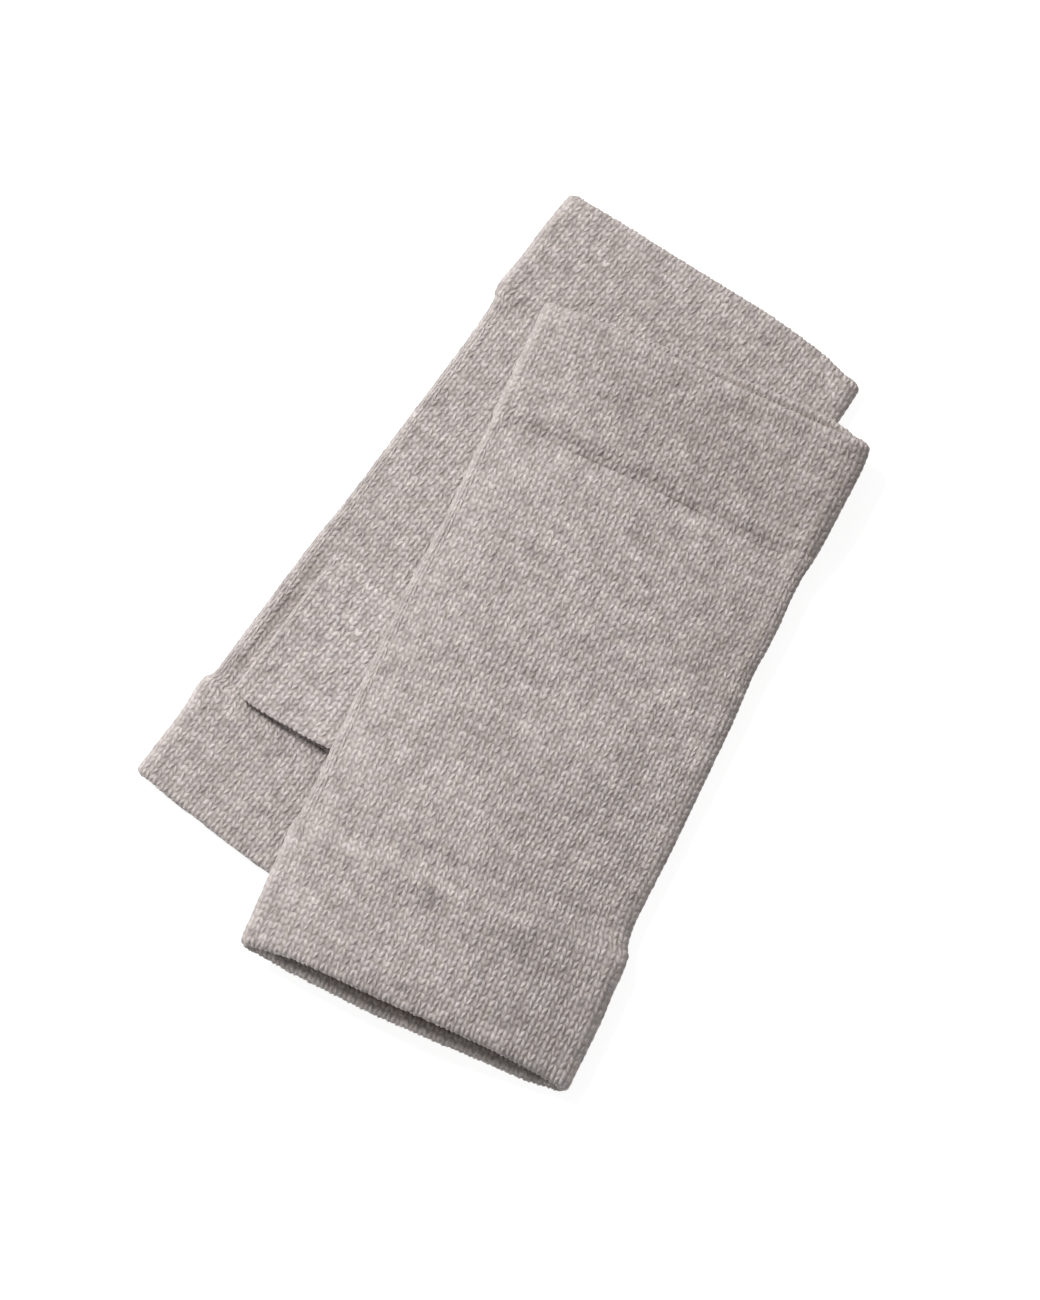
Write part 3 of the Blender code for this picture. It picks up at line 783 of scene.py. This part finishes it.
def thumb_points(warmer, rest, thumb_rest, directions, share, depth):
    place, side, up = directions
    far = (1.0 + up) / 2
    seam = THUMB_SEAM + THUMB_NEAR_START * (1.0 - far)
    end = THUMB_END - THUMB_SLANT * (place + 1.0) / 2 - THUMB_CORNER * np.abs(place) ** 6
    along = mix(seam, end, share)
    radius = THUMB_THICKNESS / 2 - depth
    across = warmer.thumb_left + THUMB_WIDTH / 2 + place * (THUMB_WIDTH - THUMB_THICKNESS) / 2
    across = across + side * radius
    x, y = to_world(warmer, across, along)
    into_slot = far * (1.0 - smooth((along - seam) / THUMB_RISE))
    if warmer.thumb_on_top:
        palm = rest(x, y) + tube_thickness(warmer, across, along)
        opening = smooth((share - LIFT_START) / (1.0 - LIFT_START)) * (LIFT_PALM_SIDE + far)
        opening = opening * mix(LIFT_LEFT, LIFT_RIGHT, (place + 1.0) / 2)
        height = palm + THUMB_GAP + THUMB_THICKNESS / 2 + up * radius + THUMB_LIFT * opening
        height = height - (THUMB_THICKNESS + THUMB_GAP) * into_slot
    else:
        height = thumb_rest(x, y) + THUMB_THICKNESS / 2 - up * radius
        height = height + (rest(x, y) - thumb_rest(x, y)) * into_slot
    return np.stack([x, y, height], axis=2)


def thumb_cloth(warmer, rest, thumb_rest):
    dense = [(0, THUMB_WALES)] if warmer.thumb_on_top else []
    places = wale_columns(THUMB_WALES, dense)
    directions = ring(places, THUMB_FACE_WALES, THUMB_EDGE_WALES, 0.0)
    rows = course_rows(THUMB_COURSES + LIP_COURSES)[:, None]
    turned = np.clip((rows - THUMB_COURSES) / LIP_COURSES, 0.0, 1.0) * math.pi
    lip = LIP_REACH / (THUMB_END - THUMB_SEAM)
    share = np.clip(rows / THUMB_COURSES, 0.0, 1.0) * (1.0 - lip) + lip * np.sin(turned)
    depth = mix(OUTER_INSET, THUMB_CLOTH, (1.0 - np.cos(turned)) / 2)
    share = share + 0.0 * places[None, :]
    outer = thumb_points(warmer, rest, thumb_rest, directions, share, depth)
    flip = 1.0 if warmer.thumb_on_top else -1.0
    felt = np.maximum(FOLD_FELT * smooth(rows - THUMB_COURSES + 1.0), EDGE_FELT * directions[1] ** 2)
    outer = raise_stitches(outer, places, rows[:, 0], flip * STITCH_HEIGHT)
    shares = np.linspace(1.0 - 2 * lip, 0.0, THUMB_INNER_ROWS)[:, None] + 0.0 * places[None, :]
    inner = thumb_points(warmer, rest, thumb_rest, directions, shares, THUMB_CLOTH)
    # Painted shade in the thumb's opening: the lip darkens past the part that stays lit, and the inside is
    # darkened all through.
    tone = 1.0 - INSIDE_SHADE * smooth((rows - THUMB_COURSES - LIP_LIT) / (LIP_COURSES - LIP_LIT))
    blocks = [("dense", outer, rows[:, 0], felt, tone),
              ("plain", inner, np.zeros(len(inner)), 0.0, 1.0 - INSIDE_SHADE)]
    return skin(warmer.name + "_thumb_knit", THUMB_WALES, places, blocks)


PIECES.update({
    "lower_thumb": thumb_cloth(LOWER, on_surface, on_surface),
    "upper_thumb": thumb_cloth(UPPER, over_all, over_lower),
})
triangles = 0
for node, piece in PIECES.items():
    piece.data.calc_loop_triangles()
    print(node, len(piece.data.loop_triangles), "triangles")
    triangles += len(piece.data.loop_triangles)
print(triangles, "triangles in all")

# %% [markdown]
# ## Shader effects that several materials use
#
# Raised stitches give the light something to catch, but a pixel can be smaller than a mesh face. A node
# group repeats the stitch's shape in the shader, so each leg stays crisp, and the places between legs get
# painted shade, for the light that is lost between real yarns.

# %% Node group: stitches
def new_group(name, inputs, outputs):
    """A shader node group with named sockets, its input and output nodes, and sums in it."""
    group = bpy.data.node_groups.new(name, "ShaderNodeTree")
    for label, kind, default in inputs:
        socket = group.interface.new_socket(label, in_out="INPUT", socket_type=kind)
        if default is not None:
            socket.default_value = default
    for label, kind in outputs:
        group.interface.new_socket(label, in_out="OUTPUT", socket_type=kind)
    return group, group.nodes.new("NodeGroupInput"), group.nodes.new("NodeGroupOutput"), Sums(group)


def set_inputs(node, values):
    for label, value in values.items():
        node.inputs[label].default_value = value


class Sums:
    """Short ways to add maths nodes to a node tree."""

    def __init__(self, tree):
        self.tree = tree

    def math(self, operation, *values, clamp=False):
        node = self.tree.nodes.new("ShaderNodeMath")
        node.operation = operation
        node.use_clamp = clamp
        return self.fill(node, values)

    def times(self, first, second):
        return self.math("MULTIPLY", first, second)

    def scaled(self, value, factor, added):
        return self.math("MULTIPLY_ADD", value, factor, added)

    def remap(self, value, low, high, to_low=0.0, to_high=1.0, soft=True):
        node = self.tree.nodes.new("ShaderNodeMapRange")
        node.interpolation_type = "SMOOTHSTEP" if soft else "LINEAR"
        return self.fill(node, (value, low, high, to_low, to_high))

    def noise(self, vector, scale, detail=2.0, roughness=0.5):
        node = self.tree.nodes.new("ShaderNodeTexNoise")
        self.put(node.inputs["Vector"], vector)
        set_inputs(node, {"Scale": scale, "Detail": detail, "Roughness": roughness})
        return node.outputs[0]

    def white_noise(self, vector):
        node = self.tree.nodes.new("ShaderNodeTexWhiteNoise")
        node.noise_dimensions = "2D"
        self.put(node.inputs["Vector"], vector)
        return node.outputs["Value"]

    def blend(self, kind, share, first, second):
        """Mixes colours, whose sockets come after those for numbers and vectors on this node."""
        node = self.tree.nodes.new("ShaderNodeMix")
        node.data_type = "RGBA"
        node.blend_type = kind
        self.put(node.inputs[0], share)
        self.put(node.inputs[6], first)
        self.put(node.inputs[7], second)
        return node.outputs[2]

    def parts(self, vector):
        node = self.tree.nodes.new("ShaderNodeSeparateXYZ")
        self.put(node.inputs[0], vector)
        return node.outputs[0], node.outputs[1], node.outputs[2]

    def vector(self, *values):
        return self.fill(self.tree.nodes.new("ShaderNodeCombineXYZ"), values)

    def fill(self, node, values):
        for socket, value in zip(node.inputs, values):
            self.put(socket, value)
        return node.outputs[0]

    def put(self, socket, value):
        if isinstance(value, bpy.types.NodeSocket):
            self.tree.links.new(value, socket)
        else:
            socket.default_value = value


# Painted shade between the legs: full where a leg is lower than the first height, gone above the second.
BETWEEN_SHADE_HEIGHTS = (0.15, 0.75)


def stitch_group():
    group, enter, leave, sums = new_group(
        "stitches", [("Knit", "NodeSocketVector", None)],
        [("Height", "NodeSocketFloat"), ("Shade between", "NodeSocketFloat")])
    wale, course = sums.parts(enter.outputs["Knit"])[:2]
    aside = sums.math("SUBTRACT", sums.math("FRACT", wale), 0.5)
    leg = sums.scaled(sums.math("FLOOR", wale), 2.0, sums.math("LESS_THAN", aside, 0.0))
    aside = sums.math("ABSOLUTE", aside)
    heights = []
    for behind in (0.0, 1.0):
        share = sums.math("DIVIDE", sums.math("ADD", sums.math("FRACT", course), behind), LEG_LENGTH)
        number = sums.math("ADD", sums.math("FLOOR", course), COUNT_FROM - behind)
        stray = []
        for i in range(3):
            place = sums.vector(sums.math("ADD", leg, i * NEXT_NUMBER), number, 0.0)
            stray.append(sums.math("SUBTRACT", sums.white_noise(place), 0.5))
        lean = sums.scaled(share, LEG_SPREAD, LEG_FOOT)
        lean = sums.scaled(stray[0], STRAY_ASIDE, lean)
        width = sums.scaled(stray[1], STRAY_WIDTH * LEG_HALF_WIDTH, LEG_HALF_WIDTH)
        offset = sums.math("DIVIDE", sums.math("SUBTRACT", aside, lean), width)
        middle = sums.scaled(share, 2.0, -1.0)
        ends = sums.times(sums.times(middle, middle), LEG_ROUND)
        left = sums.math("SUBTRACT", 1.0, sums.scaled(offset, offset, ends), clamp=True)
        top = sums.times(sums.scaled(stray[2], STRAY_HEIGHT, 1.0), sums.scaled(share, -LEG_SINK, 1.0))
        height = sums.times(sums.math("POWER", left, LEG_POWER), top)
        heights.append(sums.times(height, sums.math("LESS_THAN", share, 1.0)))
    height = sums.math("MAXIMUM", *heights)
    group.links.new(height, leave.inputs["Height"])
    group.links.new(sums.remap(height, *BETWEEN_SHADE_HEIGHTS, 1.0, 0.0), leave.inputs["Shade between"])
    return group


STITCHES = stitch_group()
print("group", STITCHES.name, "has", len(STITCHES.nodes), "nodes")

# %% [markdown]
# ## Melange yarn
#
# The yarn is spun from fibres that were dyed in different greys and beiges before spinning. Along the
# yarn the mix changes every few millimetres, and because the yarn runs round the tube the flecks lie
# across the warmer, one course high. The same group mixes slower, softer clouds and a faint change from
# warm to cool. It works in millimetres of flat cloth, so flecks keep their size on every piece.

# %% Node group: melange yarn
# How much each noise counts, and between which sums the yarn goes from its dark to its light colour.
CLOUD_SHARE = 0.36
FLECK_SHARE = 0.30
FIBRE_SHARE = 0.38
ALL_DARK = 0.36
ALL_LIGHT = 0.68
# Scale, detail and roughness of each noise, its seed, and how far clouds and flecks are drawn out.
CLOUD_NOISE = (0.26, 3.0, 0.55)
FLECK_NOISE = (0.9, 2.0, 0.6)
FIBRE_NOISE = (1.25, 4.0, 0.75)
HUE_NOISE = (0.33, 2.0, 0.6)
HUE_RANGE = (0.38, 0.62)
FIBRE_SEED = 7.0
HUE_SEED = 31.0
CLOUD_STRETCH = 0.72
FLECK_STRETCH = 0.42
NEXT_YARN = 5.37


def melange_group():
    colors = [(label, "NodeSocketColor", None) for label in ("Light", "Dark", "Warm", "Cool")]
    group, enter, leave, sums = new_group(
        "melange yarn", [("Knit", "NodeSocketVector", None), *colors, ("Seed", "NodeSocketFloat", 0.0)],
        [("Color", "NodeSocketColor")])
    wale, course = sums.parts(enter.outputs["Knit"])[:2]
    x = sums.times(wale, WALE_WIDTH)
    y = sums.times(course, COURSE_LENGTH)
    seed = enter.outputs["Seed"]
    cloud = sums.noise(sums.vector(sums.times(x, CLOUD_STRETCH), y, seed), *CLOUD_NOISE)
    yarn = sums.math("FLOOR", course)
    along_yarn = sums.vector(sums.times(x, FLECK_STRETCH), sums.times(yarn, NEXT_YARN), seed)
    fleck = sums.noise(along_yarn, *FLECK_NOISE)
    fibre = sums.noise(sums.vector(x, y, sums.math("ADD", seed, FIBRE_SEED)), *FIBRE_NOISE)
    mixed = sums.scaled(cloud, CLOUD_SHARE, sums.times(fleck, FLECK_SHARE))
    mixed = sums.scaled(fibre, FIBRE_SHARE, mixed)
    tone = sums.remap(mixed, ALL_DARK, ALL_LIGHT, soft=False)
    color = sums.blend("MIX", tone, enter.outputs["Dark"], enter.outputs["Light"])
    hue = sums.noise(sums.vector(x, y, sums.math("ADD", seed, HUE_SEED)), *HUE_NOISE)
    tint = sums.blend("MIX", sums.remap(hue, *HUE_RANGE), enter.outputs["Cool"], enter.outputs["Warm"])
    color = sums.blend("MULTIPLY", 1.0, color, tint)
    group.links.new(color, leave.inputs["Color"])
    return group


MELANGE = melange_group()
print("group", MELANGE.name, "has", len(MELANGE.nodes), "nodes")

# %% [markdown]
# ## Fluff
#
# Soft yarn has a haze of loose fibres over it, which catches light where the cloth turns away. Sheen on
# the shader is made for this. A fine bump of scratchy fibres breaks up the smooth sides of the legs.

# %% Node group: fluff
FINE_NOISE = (2600.0, 3.0, 0.7)
COARSE_NOISE = (900.0, 2.0, 0.6)


def fluff_group():
    group, enter, leave, sums = new_group(
        "fluff", [("Position", "NodeSocketVector", None)], [("Height", "NodeSocketFloat")])
    fine = sums.noise(enter.outputs["Position"], *FINE_NOISE)
    coarse = sums.noise(enter.outputs["Position"], *COARSE_NOISE)
    group.links.new(sums.scaled(fine, 0.5, coarse), leave.inputs["Height"])
    return group


FLUFF = fluff_group()
print("group", FLUFF.name, "has", len(FLUFF.nodes), "nodes")

# %% [markdown]
# ## The knit material
#
# The groups come together here. Felt hides the stitches and the tone darkens the yarn, both as marked on the
# mesh; the tone is mostly painted shade inside openings and along edges and creases. Painted-dark openings
# also go browner, as painted bounce light from wool to wool.

# %% Knit materials
# Painted shade between the legs of the stitches: how much it darkens, and its colour.
BETWEEN_SHADE_SHARE = 0.50
BETWEEN_SHADE_COLOR = (0.46, 0.42, 0.40, 1.0)
LIGHT_YARN = (0.652, 0.596, 0.580, 1.0)
DARK_YARN = (0.305, 0.272, 0.264, 1.0)
WARM_TINT = (1.006, 0.998, 0.978, 1.0)
COOL_TINT = (0.992, 1.0, 1.008, 1.0)
LEG_BUMP = {"Strength": 0.6, "Distance": 0.00035}
HAIR_BUMP = {"Strength": 0.7, "Distance": 0.00018}
WOOL = {"Roughness": 0.92, "Specular IOR Level": 0.18, "Sheen Weight": 0.35,
        "Sheen Roughness": 0.45, "Sheen Tint": (1.0, 0.985, 0.985, 1.0)}
# For red, green and blue: a power of the tone's painted shade, and one of the painted bounce light left in
# dark openings.
TONE_POWERS = ((1.0, 0.0), (1.10, 0.5), (1.16, 0.9))
OPENING_TONE = 0.7


def group_node(tree, group, label, source):
    node = tree.nodes.new("ShaderNodeGroup")
    node.node_tree = group
    tree.links.new(source, node.inputs[label])
    return node


def mesh_mark(tree, name):
    node = tree.nodes.new("ShaderNodeAttribute")
    node.attribute_name = name
    return node.outputs["Fac"]


def bump(tree, height, sizes):
    node = tree.nodes.new("ShaderNodeBump")
    set_inputs(node, sizes)
    tree.links.new(height, node.inputs["Height"])
    return node


def knit_material(name, seed):
    material = bpy.data.materials.new(name)
    material.use_nodes = True
    tree = material.node_tree
    shader = tree.nodes["Principled BSDF"]
    sums = Sums(tree)
    knit = tree.nodes.new("ShaderNodeUVMap")
    knit.uv_map = "knit"
    place = tree.nodes.new("ShaderNodeTexCoord")
    stitches = group_node(tree, STITCHES, "Knit", knit.outputs[0])
    melange = group_node(tree, MELANGE, "Knit", knit.outputs[0])
    fluff = group_node(tree, FLUFF, "Position", place.outputs["Object"])
    set_inputs(melange, {"Light": LIGHT_YARN, "Dark": DARK_YARN, "Warm": WARM_TINT,
                         "Cool": COOL_TINT, "Seed": seed})
    knitted = sums.math("SUBTRACT", 1.0, mesh_mark(tree, "felt"))
    shade = sums.times(knitted, BETWEEN_SHADE_SHARE)
    shade = sums.times(stitches.outputs["Shade between"], shade)
    color = sums.blend("MULTIPLY", shade, melange.outputs["Color"], BETWEEN_SHADE_COLOR)
    tone = mesh_mark(tree, "tone")
    lit = sums.math("MINIMUM", 1.0, sums.math("ADD", tone, 1.0 - OPENING_TONE))
    toned = [sums.times(sums.math("POWER", tone, of_tone), sums.math("POWER", lit, of_lit))
             for of_tone, of_lit in TONE_POWERS]
    color = sums.blend("MULTIPLY", 1.0, color, sums.vector(*toned))
    tree.links.new(color, shader.inputs["Base Color"])
    set_inputs(shader, WOOL)
    legs = bump(tree, sums.times(stitches.outputs["Height"], knitted), LEG_BUMP)
    hair = bump(tree, fluff.outputs["Height"], HAIR_BUMP)
    tree.links.new(legs.outputs["Normal"], hair.inputs["Normal"])
    tree.links.new(hair.outputs["Normal"], shader.inputs["Normal"])
    return material


LOWER_KNIT = knit_material("lower melange knit", seed=3.0)
UPPER_KNIT = knit_material("upper melange knit", seed=17.0)
for node, piece in PIECES.items():
    piece.data.materials.append(LOWER_KNIT if node.startswith("lower") else UPPER_KNIT)
print("two knit materials, one for each warmer")

# %% [markdown]
# ## The white surface
#
# The pair lies on white paper, which gives off some light of its own. So it comes out white all over,
# and the shadow beside the cloth stays pale.

# %% The surface the pair lies on
PAPER_SIZE = 8.0
PAPER_BELOW = 0.0002
PAPER_GREYS = ((0.29, 0.29, 0.29, 1), (0.31, 0.31, 0.31, 1))
PAPER_GRAIN = 400.0
PAPER_LOOK = {"Roughness": 0.9, "Emission Color": (1.0, 1.0, 1.0, 1.0), "Emission Strength": 0.85}

bpy.ops.mesh.primitive_plane_add(size=PAPER_SIZE, location=(0.0, 0.0, -PAPER_BELOW))
surface = bpy.context.active_object
surface.name = "surface"
paper = bpy.data.materials.new("white paper")
paper.use_nodes = True
paper_shader = paper.node_tree.nodes["Principled BSDF"]
paper_sums = Sums(paper.node_tree)
paper_place = paper.node_tree.nodes.new("ShaderNodeTexCoord")
paper_grain = paper_sums.noise(paper_place.outputs["Object"], PAPER_GRAIN)
paper_color = paper_sums.blend("MIX", paper_grain, *PAPER_GREYS)
paper.node_tree.links.new(paper_color, paper_shader.inputs["Base Color"])
set_inputs(paper_shader, PAPER_LOOK)
surface.data.materials.append(paper)
surface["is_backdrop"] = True
print("the paper is", PAPER_SIZE, "m wide")

# %% [markdown]
# ## Cloth in the model's terms
#
# Each piece stands for one CAD node, whose solid it hides, and moves with the only body, the root. The table
# also gives the size of each piece's sheet of cloth flat before it is made up: once round the tube, and
# along it, and what it rests on. A hem is two layers, so its sheet is twice as long as the hem is deep.

# %% Hiding the solids and attaching the cloth
# Columns: node, flat width round the tube, flat length, what it rests on.
SHEETS = (
    ("lower_body", 0.200, 0.134, ["surface"]),
    ("lower_wrist_hem", 0.203, 0.072, ["surface"]),
    ("lower_finger_hem", 0.203, 0.068, ["surface"]),
    ("lower_thumb", 0.078, 0.047, ["lower_body_knit"]),
    ("upper_body", 0.200, 0.122, ["lower_body_knit", "lower_thumb_knit", "surface"]),
    ("upper_wrist_hem", 0.203, 0.073, ["lower_body_knit", "lower_wrist_hem_knit"]),
    ("upper_finger_hem", 0.203, 0.075, ["lower_finger_hem_knit", "surface"]),
    ("upper_thumb", 0.078, 0.047, ["lower_body_knit", "lower_finger_hem_knit"]),
)

for node, width, length, under in SHEETS:
    piece = PIECES[node]
    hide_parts(node)
    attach(piece, "root")
print(len(SHEETS), "sheets of cloth declared")

# %% [markdown]
# ## Light and camera
#
# The photograph looks almost straight down, tilted a little towards the fingers' end. A long lens far
# away keeps the edges parallel. One soft lamp stands to the upper left, and the sky is brighter on that
# side too, which gives each stitch a light and a dark flank without hard shadows.

# %% Light and camera
LAMP_PLACE = Vector((-0.76, 0.78, 1.12))
LAMP_SIZE = 0.45
LAMP_POWER = 25.0
LAMP_COLOR = (1.0, 0.99, 0.985)
SKY_STRENGTH = 0.66
# How the sky brightens: its direction, and from how far along it to how far, from this share to all.
SKY_TOWARDS = (-0.30, 0.60, 0.60)
SKY_RANGE = (-0.2, 0.9)
SKY_DIM = 0.25


def aimed_object(name, data, place, direction):
    item = bpy.data.objects.new(name, data)
    item.location = place
    item.rotation_euler = direction.to_track_quat("-Z", "Y").to_euler()
    scene.collection.objects.link(item)
    return item


lamp_data = bpy.data.lights.new("window", "AREA")
lamp_data.shape = "SQUARE"
lamp_data.size = LAMP_SIZE
lamp_data.energy = LAMP_POWER
lamp_data.color = LAMP_COLOR
aimed_object("window", lamp_data, LAMP_PLACE, -LAMP_PLACE)

world = bpy.data.worlds.new("studio")
scene.world = world
world.use_nodes = True
background = world.node_tree.nodes["Background"]
background.inputs["Strength"].default_value = SKY_STRENGTH
sky_sums = Sums(world.node_tree)
x, y, z = sky_sums.parts(world.node_tree.nodes.new("ShaderNodeTexCoord").outputs["Generated"])
lit = sky_sums.scaled(y, SKY_TOWARDS[1], sky_sums.times(x, SKY_TOWARDS[0]))
lit = sky_sums.scaled(z, SKY_TOWARDS[2], lit)
glow = sky_sums.remap(lit, *SKY_RANGE, SKY_DIM, 1.0)
sky_color = sky_sums.blend("MIX", glow, (0.0, 0.0, 0.0, 1.0), (1.0, 1.0, 1.0, 1.0))
world.node_tree.links.new(sky_color, background.inputs["Color"])

CAMERA_TILT = math.radians(13.0)
CAMERA_DISTANCE = 1.2
CAMERA_AIM = Vector((0.00386, -0.00402, 0.0))
FRAME_LONG_SIDE = 36.0
PIXELS_PER_MM = 3.68
PHOTO_HEIGHT = 1300

camera_data = bpy.data.cameras.new("camera")
camera_data.sensor_fit = "VERTICAL"
camera_data.sensor_height = FRAME_LONG_SIDE
camera_data.lens = PIXELS_PER_MM * CAMERA_DISTANCE / MM * FRAME_LONG_SIDE / PHOTO_HEIGHT
camera_data.clip_start = 0.01
look = Vector((0.0, math.sin(CAMERA_TILT), -math.cos(CAMERA_TILT)))
camera = aimed_object("camera", camera_data, CAMERA_AIM - look * CAMERA_DISTANCE, look)
scene.camera = camera
scene.view_settings.view_transform = "Standard"
print("lens", round(camera_data.lens, 1), "mm at", CAMERA_DISTANCE, "m")

# %% [markdown]
# ## Sizes
#
# The boxes of the solids and of the dressed part are printed, to compare one with the other.

# %% Sizes of the boxes
boxes = {"cad": CAD_BOX, "visual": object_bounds()}
for name, box in boxes.items():
    print(name, "box", [[round(v, 4) for v in corner] for corner in box])
